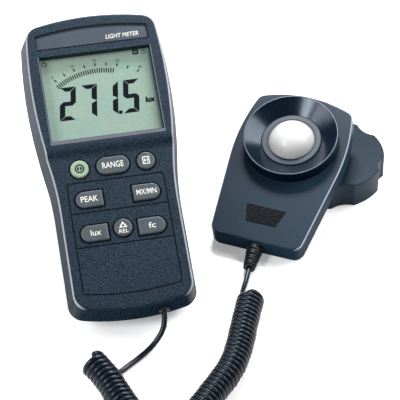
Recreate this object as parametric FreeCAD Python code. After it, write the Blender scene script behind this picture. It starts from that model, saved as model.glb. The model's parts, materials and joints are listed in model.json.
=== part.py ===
import FreeCAD, Part
import math
import os

# Hand-held light meter on its tilt stand, with a remote sensor head on a curly
# cord and the sensor's dust cap.  Millimetres.  Each assembly is drawn in its
# own frame (X across, Y along, Z out of the face) and then stood on the table.

os.makedirs("parts", exist_ok=True)

Vector = FreeCAD.Vector
ACROSS = Vector(1, 0, 0)
ALONG = Vector(0, 1, 0)
OUT = Vector(0, 0, 1)

# ---- meter housing ----
METER_LENGTH = 176.0
GRIP_HALF_WIDTH = 34.8
HEAD_HALF_WIDTH = 41.0
GRIP_TOP = 58.0
HEAD_WIDEST = 135.0
WAIST_RADIUS = 180.0
FOOT_BOW = 4.8
CROWN_BOW = 4.6
CORNER_RADIUS = 9.0
FACE_HEIGHT = 34.0
HOOD_HEIGHT = 36.5
HOOD_START = 89.2
HOOD_END = 96.4
PARTING_HEIGHT = 18.0
FACE_FLARE = (2.8, 0.8, 1.7)
BACK_FLARE = (1.5, 9.0, 2.0)
WALL = 2.2
FACE_EDGE_RADIUS = 1.6
BACK_EDGE_RADIUS = 7.0
METER_TILT = 27.6

# ---- display ----
DISPLAY_HALF_WIDTH = 30.9
DISPLAY_BOTTOM = 100.0
DISPLAY_TOP = 151.4
WINDOW_THICKNESS = 1.4
WINDOW_TOP = 32.8
WINDOW_LAP = 2.0
CELL_THICKNESS = 2.4
CELL_FRAME_WALL = 1.2
HEADER_HALF_WIDTH = 31.2
HEADER_BOTTOM = 155.8
HEADER_SHOULDER = 164.4
HEADER_TOP = 167.5
HEADER_DEPTH = 1.2
HEADER_THICKNESS = 0.5
PANEL_HALF_WIDTH = 26.7
PANEL_TOP = 75.7
PANEL_BOTTOM = 12.0
PANEL_BOW = 2.5
PANEL_CORNER_RADIUS = 2.0
PANEL_DIVIDERS = (57.7, 38.1)
GROOVE_WIDTH = 0.8
GROOVE_DEPTH = 0.5

# ---- keys: centre across, centre along ----
ROUND_KEY_RADIUS = 5.0
TOP_ROW = 83.1
MIDDLE_ROW = 65.1
LOWER_ROW = 45.5
TOP_ROW_PITCH = 18.15
KEY_PITCH = 15.5
WIDE_KEY_LENGTH = 14.8
WIDE_KEY_WIDTH = 9.2
RANGE_KEY_LENGTH = 18.0
RANGE_KEY_WIDTH = 10.0
KEY_GAP = 0.55
KEY_RISE = 1.0
KEY_TRAVEL = 0.8
KEY_EDGE_RADIUS = 0.8
KEY_FLANGE = 1.1
KEY_FLANGE_THICKNESS = 1.4

# ---- inside the meter ----
BOARD_BOTTOM = 22.0
BOARD_THICKNESS = 1.6
MAT_THICKNESS = 1.2
BATTERY_WIDTH = 26.5
BATTERY_LENGTH = 46.4
BATTERY_DEPTH = 17.0
BATTERY_BOTTOM = 2.9
BATTERY_START = 17.0
BAY_WALL = 1.6
SCREW_RADIUS = 1.4
SCREW_HEAD_RADIUS = 2.6
BOSS_RADIUS = 3.2

# ---- tilt stand and battery cover ----
STAND_HINGE_ALONG = 120.0
STAND_HINGE_HEIGHT = 2.8
STAND_OPEN_ANGLE = 75.0
STAND_RECESS_LENGTH = 54.9
STAND_WIDTH = 42.0
STAND_THICKNESS = 2.2
STAND_BARREL_RADIUS = 2.2
STAND_PIN_RADIUS = 1.2
STAND_PIN_CLEARANCE = 0.05
STAND_PIN_LENGTH = 2.4
STAND_RECESS_DEPTH = 4.0
COVER_WIDTH = 32.0
COVER_START = 14.5
COVER_LENGTH = 49.5
COVER_GAP = 0.3
COVER_THICKNESS = 2.2

# ---- sensor head ----
SENSOR_LENGTH = 102.0
SENSOR_DEPTH = 12.3
SENSOR_FOOT_HALF_WIDTH = 26.6
SENSOR_FLANK_END = (32.2, 52.0)
SENSOR_HEAD_RADIUS = 116.0
SENSOR_CROWN_BOW = 6.0
SENSOR_CORNER_RADIUS = 6.5
SENSOR_PARTING = 5.0
SENSOR_WALL = 1.8
SENSOR_SCREW_SEAT = 2.4
SENSOR_YAW = -31.3
SENSOR_PITCH = 17.9
DOME_ALONG = 69.0
RING_RADIUS = 27.5
RING_RISE = 7.6
RING_CONE_RADIUS = 17.3
RING_FLOOR = 1.8
RETAINER_RISE = 2.2
DOME_RADIUS = 13.2
DOME_RISE = 9.5
PAD_TOP = 22.8
PAD_BOTTOM = 12.0
PAD_TOP_HALF_WIDTH = 11.6
PAD_BOTTOM_HALF_WIDTH = 8.7
RELIEF_LARGE_RADIUS = 5.0
RELIEF_SMALL_RADIUS = 3.3

# ---- dust cap ----
CAP_RADIUS = 32.5
CAP_HEIGHT = 15.2
CAP_WALL_RADIUS = 28.0
CAP_TOP_THICKNESS = 2.2
CAP_SCALLOPS = 6
CAP_SCALLOP_DEPTH = 2.6
CAP_SCALLOP_RADIUS = 12.0
CAP_SCALLOP_TURN = -28.0

# ---- cord ----
CORD_RADIUS = 1.5
COIL_RADIUS = 7.5
CORD_EXIT_ACROSS = 15.0
CORD_EXIT_HEIGHT = 26.0
GROMMET_RADIUS = 3.0
GROMMET_START = -0.25
GROMMET_FLANGE = 1.2
GROMMET_LENGTH = 5.0

# ---- places on the table, before the origin is moved under the middle ----
METER_PLACE = Vector(0.3, -1.33, -5.377)
SENSOR_PLACE = Vector(75.9, 39.9, 0.0)
CAP_PLACE = Vector(132.1, 99.5, 0.0)
RELIEF_END = Vector(68.7, 24.3, 3.7)

# Route of the cord: lead from the meter, the coil's axis, lead to the sensor.
METER_LEAD = [
    Vector(15.3, -11.6, 18.6),
    Vector(15.1, -20.0, 13.8),
    Vector(8.8, -23.8, 5.6),
    Vector(1.5, -27.8, 1.9),
    Vector(-7.8, -34.2, 1.6),
    Vector(-16.6, -41.4, 2.6),
]
COIL_ROUTE = [
    Vector(-26.8, -36.9, 10.9),
    Vector(-20.6, -47.8, 10.2),
    Vector(-16.4, -62.0, 8.4),
    Vector(-10.5, -77.0, 7.7),
    Vector(2.0, -88.0, 7.7),
    Vector(17.5, -83.0, 7.7),
    Vector(31.0, -67.0, 7.7),
    Vector(43.4, -53.0, 7.7),
    Vector(51.2, -37.0, 7.7),
    Vector(57.4, -19.5, 7.7),
    Vector(63.9, -4.1, 7.7),
]
SENSOR_LEAD = [
    Vector(68.7, 24.3, 3.7),
    Vector(65.7, 16.4, 2.6),
    Vector(61.4, 6.8, 3.4),
    Vector(59.0, -2.0, 7.2),
]


def box(across, along, out):
    """Block between three pairs of limits."""
    size = [high - low for low, high in (across, along, out)]
    return Part.makeBox(size[0], size[1], size[2], Vector(across[0], along[0], out[0]))


def disc(across, along, low, high, radius):
    """Cylinder that stands on the face."""
    return Part.makeCylinder(radius, high - low, Vector(across, along, low), OUT)


def arc_edge(start, middle, end):
    return Part.Arc(start, middle, end).toShape()


def line_edge(start, end):
    return Part.LineSegment(start, end).toShape()


def prism(edges, low, high):
    """Solid with the outline of the edges, between two heights."""
    face = Part.Face(Part.Wire(edges))
    face.translate(Vector(0, 0, low))
    return face.extrude(Vector(0, 0, high - low))


def level_edges(solid, height):
    """Edges that lie wholly at one height."""
    return [edge for edge in solid.Edges
            if all(abs(vertex.Z - height) < 0.001 for vertex in edge.Vertexes)]


def corner_edges(solid):
    """Straight upright edges of a prism."""
    found = []
    for edge in solid.Edges:
        ends = [vertex.Point for vertex in edge.Vertexes]
        if len(ends) == 2 and (ends[1] - ends[0]).cross(OUT).Length < 0.001:
            found.append(edge)
    return found


def sharp_corners(solid):
    """Upright edges where the outline turns, leaving out those where it runs on smoothly."""
    found = []
    for edge in corner_edges(solid):
        faces = solid.ancestorsOfType(edge, Part.Face)
        middle = edge.valueAt((edge.FirstParameter + edge.LastParameter) / 2)
        normals = [face.normalAt(*face.Surface.parameter(middle)) for face in faces]
        if len(normals) == 2 and normals[0].getAngle(normals[1]) > math.radians(15):
            found.append(edge)
    return found


def plan_of(solid):
    """Flat outline of a prism's foot."""
    return min(solid.Faces, key=lambda face: face.CenterOfMass.z)


def inset_prism(plan, inset, low, high):
    """Prism inside the plan by an even margin.  The plan is smooth all round and lies at height 0."""
    edges = []
    for edge in plan.OuterWire.OrderedEdges:
        moved = []
        for share in (0, 0.5, 1):
            where = edge.FirstParameter + share * (edge.LastParameter - edge.FirstParameter)
            point = edge.valueAt(where)
            inward = OUT.cross(edge.tangentAt(where))
            if inward.dot(plan.CenterOfMass - point) < 0:
                inward = -inward
            moved.append(point + inward * inset)
        straight = edge.Curve.TypeId == "Part::GeomLine"
        edges.append(line_edge(moved[0], moved[2]) if straight else arc_edge(*moved))
    return prism(Part.sortEdges(edges)[0], low, high)


# ---- meter housing ----

def meter_plan(side=0.0, foot=0.0, top=0.0):
    """Bowed foot, straight grip, S-shaped shoulders and arched crown, drawn in by three margins."""
    grip = GRIP_HALF_WIDTH - side
    head = HEAD_HALF_WIDTH - side
    length = METER_LENGTH - top
    shoulder_rise = HEAD_WIDEST - GRIP_TOP
    shoulder_step = HEAD_HALF_WIDTH - GRIP_HALF_WIDTH
    radii_sum = (shoulder_step ** 2 + shoulder_rise ** 2) / (2 * shoulder_step)
    head_radius = radii_sum - WAIST_RADIUS
    head_centre = head - head_radius
    share = WAIST_RADIUS / radii_sum
    bend = (grip + shoulder_step * share, GRIP_TOP + shoulder_rise * share)

    def waist_at(along):
        return grip + WAIST_RADIUS - math.sqrt(WAIST_RADIUS ** 2 - (along - GRIP_TOP) ** 2)

    def head_at(along):
        return head_centre + math.sqrt(head_radius ** 2 - (along - HEAD_WIDEST) ** 2)

    crown = length - CROWN_BOW
    waist_middle = (GRIP_TOP + bend[1]) / 2
    edges = [
        arc_edge(Vector(-grip, FOOT_BOW + foot), Vector(0, foot), Vector(grip, FOOT_BOW + foot)),
        line_edge(Vector(grip, FOOT_BOW + foot), Vector(grip, GRIP_TOP)),
        arc_edge(Vector(grip, GRIP_TOP), Vector(waist_at(waist_middle), waist_middle), Vector(*bend)),
        arc_edge(Vector(*bend), Vector(head, HEAD_WIDEST), Vector(head_at(crown), crown)),
        arc_edge(Vector(head_at(crown), crown), Vector(0, length), Vector(-head_at(crown), crown)),
        arc_edge(Vector(-head_at(crown), crown), Vector(-head, HEAD_WIDEST), Vector(-bend[0], bend[1])),
        arc_edge(Vector(-bend[0], bend[1]), Vector(-waist_at(waist_middle), waist_middle),
                 Vector(-grip, GRIP_TOP)),
        line_edge(Vector(-grip, GRIP_TOP), Vector(-grip, FOOT_BOW + foot)),
    ]
    block = prism(edges, 0, 1)
    block = block.makeFillet(CORNER_RADIUS, sharp_corners(block))
    return plan_of(block)


def plan_wire(height, margin):
    """Outline of the housing at one height, drawn in by a margin.  The parting line is widest."""
    if height >= PARTING_HEIGHT:
        flare = FACE_FLARE
        share = (height - PARTING_HEIGHT) / (FACE_HEIGHT - PARTING_HEIGHT)
    else:
        flare = BACK_FLARE
        share = (PARTING_HEIGHT - height) / PARTING_HEIGHT
    wire = meter_plan(*[share * value + margin for value in flare]).OuterWire
    wire.translate(Vector(0, 0, height))
    return wire


def shell_block(margin, low, high):
    """Drafted solid between two heights on one side of the parting line."""
    return Part.makeLoft([plan_wire(low, margin), plan_wire(high, margin)], True, True)


def hood_profile(drop):
    """Side view of the face: keys at one height, then a gentle step up to the hood."""
    low = FACE_HEIGHT - drop
    high = HOOD_HEIGHT - drop
    far = METER_LENGTH + 10
    near = -10
    half = ((HOOD_START + HOOD_END) / 2, (low + high) / 2)
    quarter = (HOOD_END - HOOD_START) / 4
    step = high - low
    radius = ((HOOD_END - HOOD_START) ** 2 + step ** 2) / (4 * step)
    sag = radius - math.sqrt(radius ** 2 - quarter ** 2)

    def point(along, height):
        return Vector(-60, along, height)

    edges = [
        line_edge(point(near, PARTING_HEIGHT), point(near, low)),
        line_edge(point(near, low), point(HOOD_START, low)),
        arc_edge(point(HOOD_START, low), point(HOOD_START + quarter, low + sag), point(*half)),
        arc_edge(point(*half), point(HOOD_END - quarter, high - sag), point(HOOD_END, high)),
        line_edge(point(HOOD_END, high), point(far, high)),
        line_edge(point(far, high), point(far, PARTING_HEIGHT)),
        line_edge(point(far, PARTING_HEIGHT), point(near, PARTING_HEIGHT)),
    ]
    return Part.Face(Part.Wire(edges)).extrude(Vector(120, 0, 0))


def key_layout():
    """Name, outline kind and centre of every key."""
    return [
        ("key_power", "round", -TOP_ROW_PITCH, TOP_ROW),
        ("key_range", "stadium", 0, TOP_ROW),
        ("key_hold", "round", TOP_ROW_PITCH, TOP_ROW),
        ("key_peak", "round_left", -KEY_PITCH, MIDDLE_ROW),
        ("key_max_min", "round_right", KEY_PITCH, MIDDLE_ROW),
        ("key_lux", "round_left", -KEY_PITCH, LOWER_ROW),
        ("key_rel", "round", 0, LOWER_ROW + 1),
        ("key_fc", "round_right", KEY_PITCH, LOWER_ROW),
    ]


def key_block(kind, across, along, low, high, margin):
    """Key outline grown by a margin, between two heights."""
    if kind == "round":
        return disc(across, along, low, high, ROUND_KEY_RADIUS + margin)
    if kind == "stadium":
        half_length = RANGE_KEY_LENGTH / 2
        half_width = RANGE_KEY_WIDTH / 2
    else:
        half_length = WIDE_KEY_LENGTH / 2
        half_width = WIDE_KEY_WIDTH / 2
    straight = half_length - half_width
    left = straight if kind in ("stadium", "round_left") else half_length + margin
    right = straight if kind in ("stadium", "round_right") else half_length + margin
    reach = half_width + margin
    block = box((across - left, across + right), (along - reach, along + reach), (low, high))
    if kind in ("stadium", "round_left"):
        block = block.fuse(disc(across - straight, along, low, high, half_width + margin))
    if kind in ("stadium", "round_right"):
        block = block.fuse(disc(across + straight, along, low, high, half_width + margin))
    return block.removeSplitter()


RIM_MARGIN = 8.0
CASE_SCREWS = [(-28.0, 14.0), (28.0, 14.0), (-31.0, 161.0), (31.0, 161.0)]
BOARD_SCREWS = [(-27.5, 30.0), (27.5, 30.0), (-26.0, 74.0), (26.0, 74.0)]
KEY_UNDERSIDE = FACE_HEIGHT - WALL - KEY_FLANGE_THICKNESS - 0.15


def panel_grooves():
    """Engraved frame round the lower keys, with its two dividing lines."""
    half = PANEL_HALF_WIDTH
    edges = [
        arc_edge(Vector(-half, PANEL_BOTTOM), Vector(0, PANEL_BOTTOM - PANEL_BOW),
                 Vector(half, PANEL_BOTTOM)),
        line_edge(Vector(half, PANEL_BOTTOM), Vector(half, PANEL_TOP)),
        line_edge(Vector(half, PANEL_TOP), Vector(-half, PANEL_TOP)),
        line_edge(Vector(-half, PANEL_TOP), Vector(-half, PANEL_BOTTOM)),
    ]
    block = prism(edges, 0, 1)
    plan = plan_of(block.makeFillet(PANEL_CORNER_RADIUS, sharp_corners(block)))
    low = FACE_HEIGHT - GROOVE_DEPTH
    high = FACE_HEIGHT + 1
    grooves = inset_prism(plan, 0, low, high)
    grooves = grooves.cut(inset_prism(plan, GROOVE_WIDTH, low - 1, high + 1))
    inner = half - GROOVE_WIDTH / 2
    for along in PANEL_DIVIDERS:
        span = (along - GROOVE_WIDTH / 2, along + GROOVE_WIDTH / 2)
        grooves = grooves.fuse(box((-inner, inner), span, (low, high)))
    return grooves


def header_block(margin, low, high):
    """Arched band above the display, between two heights."""
    half = HEADER_HALF_WIDTH - margin
    shoulder = HEADER_SHOULDER - margin
    edges = [
        line_edge(Vector(-half, HEADER_BOTTOM + margin), Vector(half, HEADER_BOTTOM + margin)),
        line_edge(Vector(half, HEADER_BOTTOM + margin), Vector(half, shoulder)),
        arc_edge(Vector(half, shoulder), Vector(0, HEADER_TOP - margin), Vector(-half, shoulder)),
        line_edge(Vector(-half, shoulder), Vector(-half, HEADER_BOTTOM + margin)),
    ]
    return prism(edges, low, high)


def front_case(plan):
    outer = shell_block(0, PARTING_HEIGHT, HOOD_HEIGHT + 3).common(hood_profile(0))
    rim = [edge for edge in outer.Edges
           if edge.BoundBox.ZMin > FACE_HEIGHT - 0.01 and not inside_plan(plan, edge)]
    outer = outer.makeFillet(FACE_EDGE_RADIUS, rim)
    hollow = shell_block(WALL, PARTING_HEIGHT - 0.001, HOOD_HEIGHT).common(hood_profile(WALL))
    skirt = box((-DISPLAY_HALF_WIDTH - WINDOW_LAP, DISPLAY_HALF_WIDTH + WINDOW_LAP),
                (DISPLAY_BOTTOM - WINDOW_LAP, DISPLAY_TOP + WINDOW_LAP), (WINDOW_TOP, HOOD_HEIGHT - WALL))
    case = outer.cut(hollow).fuse(skirt)
    case = case.cut(box((-DISPLAY_HALF_WIDTH, DISPLAY_HALF_WIDTH), (DISPLAY_BOTTOM, DISPLAY_TOP),
                        (WINDOW_TOP - 1, HOOD_HEIGHT + 1)))
    case = case.cut(header_block(0, HOOD_HEIGHT - HEADER_DEPTH, HOOD_HEIGHT + 1))
    case = case.cut(panel_grooves())
    for name, kind, across, along in key_layout():
        case = case.cut(key_block(kind, across, along, FACE_HEIGHT - WALL - 1, FACE_HEIGHT + 1, KEY_GAP))
    bosses_within = shell_block(1.0, PARTING_HEIGHT, HOOD_HEIGHT)
    for across, along in CASE_SCREWS:
        ceiling = HOOD_HEIGHT if along > HOOD_END else FACE_HEIGHT
        boss = disc(across, along, PARTING_HEIGHT, ceiling - WALL + 0.5, BOSS_RADIUS)
        case = case.fuse(boss.common(bosses_within))
    board_top = BOARD_BOTTOM + BOARD_THICKNESS
    for across, along in BOARD_SCREWS:
        case = case.fuse(disc(across, along, board_top, FACE_HEIGHT - WALL + 0.5, BOSS_RADIUS))
    for across, along in CASE_SCREWS:
        case = case.cut(disc(across, along, PARTING_HEIGHT - 1, PARTING_HEIGHT + 8, SCREW_RADIUS))
    for across, along in BOARD_SCREWS:
        case = case.cut(disc(across, along, BOARD_BOTTOM, board_top + 6, SCREW_RADIUS))
    mouth = Vector(CORD_EXIT_ACROSS, -4, CORD_EXIT_HEIGHT)
    hole = Part.makeCylinder(GROMMET_RADIUS - 0.8, 12, mouth, ALONG)
    return case.cut(hole).removeSplitter()


def inside_plan(plan, edge):
    """True for an edge whose middle lies well inside the plan, away from its rim."""
    middle = edge.valueAt((edge.FirstParameter + edge.LastParameter) / 2)
    flat = Part.Vertex(Vector(middle.x, middle.y, 0))
    return plan.OuterWire.distToShape(flat)[0] > RIM_MARGIN


def stand_slots():
    """Clearance in the back for the folded stand, its barrel and its pins."""
    half = STAND_WIDTH / 2 + 0.6
    foot = STAND_HINGE_ALONG - STAND_RECESS_LENGTH
    recess = box((-half, half), (foot, STAND_HINGE_ALONG), (-1, STAND_RECESS_DEPTH))
    barrel = Part.makeCylinder(STAND_BARREL_RADIUS + 0.5, 2 * half,
                               Vector(-half, STAND_HINGE_ALONG, STAND_HINGE_HEIGHT), ACROSS)
    mouth = box((-half, half), (STAND_HINGE_ALONG, STAND_HINGE_ALONG + STAND_BARREL_RADIUS + 0.5),
                (-1, STAND_HINGE_HEIGHT))
    reach = STAND_WIDTH / 2 + STAND_PIN_LENGTH + 0.3
    pins = Part.makeCylinder(STAND_PIN_RADIUS + STAND_PIN_CLEARANCE, 2 * reach,
                             Vector(-reach, STAND_HINGE_ALONG, STAND_HINGE_HEIGHT), ACROSS)
    return recess.fuse(barrel).fuse(mouth).fuse(pins)


def rear_case():
    outer = shell_block(0, 0, PARTING_HEIGHT)
    outer = outer.makeFillet(BACK_EDGE_RADIUS, level_edges(outer, 0))
    hollow = shell_block(WALL, WALL, PARTING_HEIGHT + 0.001)
    hollow = hollow.makeFillet(BACK_EDGE_RADIUS - WALL, level_edges(hollow, WALL))
    case = outer.cut(hollow)
    slots = stand_slots()
    half = STAND_WIDTH / 2 + 4.2
    doubler = box((-half, half), (STAND_HINGE_ALONG - 60, STAND_HINGE_ALONG + 5),
                  (WALL - 0.5, STAND_RECESS_DEPTH + 2.6))
    case = case.fuse(doubler)
    bay_half = BATTERY_WIDTH / 2 + 1
    bay_end = BATTERY_START + BATTERY_LENGTH + 1
    bay_start = BATTERY_START - 1
    walls = box((-bay_half - BAY_WALL, bay_half + BAY_WALL), (bay_start - BAY_WALL, bay_end + BAY_WALL),
                (WALL - 0.5, PARTING_HEIGHT - 1))
    walls = walls.cut(box((-bay_half, bay_half), (bay_start, bay_end), (-1, PARTING_HEIGHT)))
    case = case.fuse(walls.cut(doubler))
    opening = box((-COVER_WIDTH / 2, COVER_WIDTH / 2), (COVER_START, COVER_START + COVER_LENGTH),
                  (-1, COVER_THICKNESS + 0.2))
    bay = box((-bay_half, bay_half), (bay_start, bay_end - 0.6), (-1, 8))
    case = case.cut(opening).cut(bay).cut(slots)
    for across, along in CASE_SCREWS:
        case = case.fuse(disc(across, along, WALL - 0.5, PARTING_HEIGHT, BOSS_RADIUS + 0.6))
    for across, along in CASE_SCREWS:
        case = case.cut(disc(across, along, -1, PARTING_HEIGHT + 1, SCREW_RADIUS + 0.1))
        case = case.cut(disc(across, along, -1, PARTING_HEIGHT - 6, SCREW_HEAD_RADIUS + 0.2))
    return case.removeSplitter()


def screw(across, along, low, length, head_down):
    """Pan-head screw: shank and head, with a cross slot in the head."""
    head_height = 1.8
    if head_down:
        shank = disc(across, along, low, low + length, SCREW_RADIUS - 0.15)
        head = disc(across, along, low - head_height, low, SCREW_HEAD_RADIUS)
        slot_level = (low - head_height - 1, low - head_height + 0.9)
    else:
        shank = disc(across, along, low - length, low, SCREW_RADIUS - 0.15)
        head = disc(across, along, low, low + head_height, SCREW_HEAD_RADIUS)
        slot_level = (low + head_height - 0.9, low + head_height + 1)
    body = shank.fuse(head)
    for half_x, half_y in ((1.7, 0.35), (0.35, 1.7)):
        slot = box((across - half_x, across + half_x), (along - half_y, along + half_y), slot_level)
        body = body.cut(slot)
    return body.removeSplitter()


def display_parts():
    half = DISPLAY_HALF_WIDTH + WINDOW_LAP - 0.2
    span = (DISPLAY_BOTTOM - WINDOW_LAP + 0.2, DISPLAY_TOP + WINDOW_LAP - 0.2)
    window_bottom = WINDOW_TOP - WINDOW_THICKNESS
    cell_top = window_bottom - 0.2
    cell_bottom = cell_top - CELL_THICKNESS
    window = box((-half, half), span, (window_bottom, WINDOW_TOP))
    cell = box((-half + 0.4, half - 0.4), (span[0] + 0.4, span[1] - 0.4), (cell_bottom, cell_top))
    board_top = BOARD_BOTTOM + BOARD_THICKNESS
    edge = CELL_FRAME_WALL
    frame = box((-half - edge, half + edge), (span[0] - edge, span[1] + edge), (board_top, cell_top))
    frame = frame.cut(box((-half + 0.2, half - 0.2), (span[0] + 0.2, span[1] - 0.2),
                          (BOARD_BOTTOM, cell_top + 1)))
    strips = []
    for along in (span[0] + 2.2, span[1] - 2.2):
        strips.append(box((-half + 2, half - 2), (along - 1.1, along + 1.1), (board_top, cell_bottom)))
    header_floor = HOOD_HEIGHT - HEADER_DEPTH
    header = header_block(0.1, header_floor, header_floor + HEADER_THICKNESS)
    return {
        "display_window": window,
        "lcd_glass": cell,
        "lcd_frame": frame,
        "contact_strips": Part.Compound(strips),
        "header_plate": header,
    }


def board_parts(plan):
    top = BOARD_BOTTOM + BOARD_THICKNESS
    board = inset_prism(plan, WALL + 2.0, BOARD_BOTTOM, top)
    board = board.common(box((-60, 60), (12, 157), (0, 60)))
    for across, along in BOARD_SCREWS:
        board = board.cut(disc(across, along, 0, 40, SCREW_RADIUS + 0.1))
    for across, along in CASE_SCREWS:
        board = board.cut(disc(across, along, 0, 40, BOSS_RADIUS + 0.6))
    chips = [
        box((-9, 9), (108, 126), (BOARD_BOTTOM - 2.4, BOARD_BOTTOM)),
        box((-27, -17), (98, 108), (BOARD_BOTTOM - 2.0, BOARD_BOTTOM)),
        box((16, 26), (99, 107), (BOARD_BOTTOM - 3.2, BOARD_BOTTOM)),
        disc(22, 128, BOARD_BOTTOM - 4, BOARD_BOTTOM, 3),
        disc(-22, 128, BOARD_BOTTOM - 5, BOARD_BOTTOM, 3.6),
    ]
    for step in range(6):
        across = -20 + 8 * step
        chips.append(box((across - 1.6, across + 1.6), (140, 142), (BOARD_BOTTOM - 1, BOARD_BOTTOM)))
    mat = box((-24.2, 24.2), (36, 91), (top, top + MAT_THICKNESS))
    for name, kind, across, along in key_layout():
        dome_top = KEY_UNDERSIDE - KEY_TRAVEL - 0.2
        mat = mat.fuse(disc(across, along, top + MAT_THICKNESS - 0.1, dome_top, 3.2))
    for across, along in BOARD_SCREWS:
        mat = mat.cut(disc(across, along, 0, 60, BOSS_RADIUS + 0.3))
    screws = [screw(across, along, BOARD_BOTTOM, 6.5, True) for across, along in BOARD_SCREWS]
    return {
        "main_board": board,
        "board_components": Part.Compound(chips),
        "keypad_mat": mat.removeSplitter(),
        "board_screws": Part.Compound(screws),
    }


def key_parts():
    parts = {}
    for name, kind, across, along in key_layout():
        top = FACE_HEIGHT + KEY_RISE
        cap = key_block(kind, across, along, KEY_UNDERSIDE, top, 0)
        cap = cap.makeFillet(KEY_EDGE_RADIUS, level_edges(cap, top))
        flange_top = KEY_UNDERSIDE + KEY_FLANGE_THICKNESS
        flange = key_block(kind, across, along, KEY_UNDERSIDE, flange_top, KEY_FLANGE)
        parts[name] = cap.fuse(flange).removeSplitter()
    return parts


def battery_parts():
    end = BATTERY_START + BATTERY_LENGTH
    shell = box((-BATTERY_WIDTH / 2, BATTERY_WIDTH / 2), (BATTERY_START, end - 5.4),
                (BATTERY_BOTTOM, BATTERY_BOTTOM + BATTERY_DEPTH))
    shell = shell.makeFillet(1.6, [edge for edge in shell.Edges if edge.BoundBox.YLength > 10])
    snap = box((-12.5, 12.5), (end - 5.3, end - 1.6),
               (BATTERY_BOTTOM + 2, BATTERY_BOTTOM + BATTERY_DEPTH - 2))
    return {"battery": shell, "battery_snap": snap}


def battery_cover():
    half = COVER_WIDTH / 2 - COVER_GAP
    span = (COVER_START + COVER_GAP, COVER_START + COVER_LENGTH - COVER_GAP)
    cover = box((-half, half), span, (0, COVER_THICKNESS))
    for step in range(5):
        along = span[0] + 5 + 2.4 * step
        cover = cover.cut(box((-9, 9), (along - 0.6, along + 0.6), (-1, 0.7)))
    return cover


def tilt_stand():
    """Leg folded flat in the back, hinged at its upper end."""
    barrel = Part.makeCylinder(STAND_BARREL_RADIUS, STAND_WIDTH,
                               Vector(-STAND_WIDTH / 2, STAND_HINGE_ALONG, STAND_HINGE_HEIGHT), ACROSS)
    reach = STAND_WIDTH / 2 + STAND_PIN_LENGTH
    pins = Part.makeCylinder(STAND_PIN_RADIUS, 2 * reach,
                             Vector(-reach, STAND_HINGE_ALONG, STAND_HINGE_HEIGHT), ACROSS)
    low = STAND_HINGE_HEIGHT - STAND_BARREL_RADIUS
    leg = box((-STAND_WIDTH / 2, STAND_WIDTH / 2), (STAND_HINGE_ALONG - 60, STAND_HINGE_ALONG),
              (low, low + STAND_THICKNESS))
    return barrel.fuse(pins).fuse(leg).removeSplitter()


def grommet():
    """Flanged bush round the cord in the foot wall."""
    start = Vector(CORD_EXIT_ACROSS, GROMMET_START, CORD_EXIT_HEIGHT)
    flange = Part.makeCylinder(GROMMET_RADIUS, GROMMET_FLANGE, start, ALONG)
    body = Part.makeCylinder(GROMMET_RADIUS - 0.85, GROMMET_LENGTH, start, ALONG)
    hole = Part.makeCylinder(CORD_RADIUS + 0.05, 20, start - ALONG * 5, ALONG)
    return flange.fuse(body).cut(hole).removeSplitter()


# ---- sensor head ----

def sensor_plan():
    """Straight foot, sides that widen evenly and then curve in to a gently arched crown."""
    side = Vector(SENSOR_FLANK_END[0] - SENSOR_FOOT_HALF_WIDTH, SENSOR_FLANK_END[1])
    side.normalize()
    centre = Vector(*SENSOR_FLANK_END) + Vector(-side.y, side.x) * SENSOR_HEAD_RADIUS

    def head_at(along):
        return centre.x + math.sqrt(SENSOR_HEAD_RADIUS ** 2 - (along - centre.y) ** 2)

    foot = SENSOR_FOOT_HALF_WIDTH
    flank = SENSOR_FLANK_END
    crown = SENSOR_LENGTH - SENSOR_CROWN_BOW
    edges = [
        line_edge(Vector(-foot, 0), Vector(foot, 0)),
        line_edge(Vector(foot, 0), Vector(*flank)),
        arc_edge(Vector(*flank), Vector(head_at(DOME_ALONG), DOME_ALONG), Vector(head_at(crown), crown)),
        arc_edge(Vector(head_at(crown), crown), Vector(0, SENSOR_LENGTH),
                 Vector(-head_at(crown), crown)),
        arc_edge(Vector(-head_at(crown), crown), Vector(-head_at(DOME_ALONG), DOME_ALONG),
                 Vector(-flank[0], flank[1])),
        line_edge(Vector(-flank[0], flank[1]), Vector(-foot, 0)),
    ]
    block = prism(edges, 0, 1)
    block = block.makeFillet(SENSOR_CORNER_RADIUS, sharp_corners(block))
    return plan_of(block)


SENSOR_SCREWS = [(-20.0, 9.0), (20.0, 9.0), (-23.0, 42.0), (23.0, 42.0)]


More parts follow.
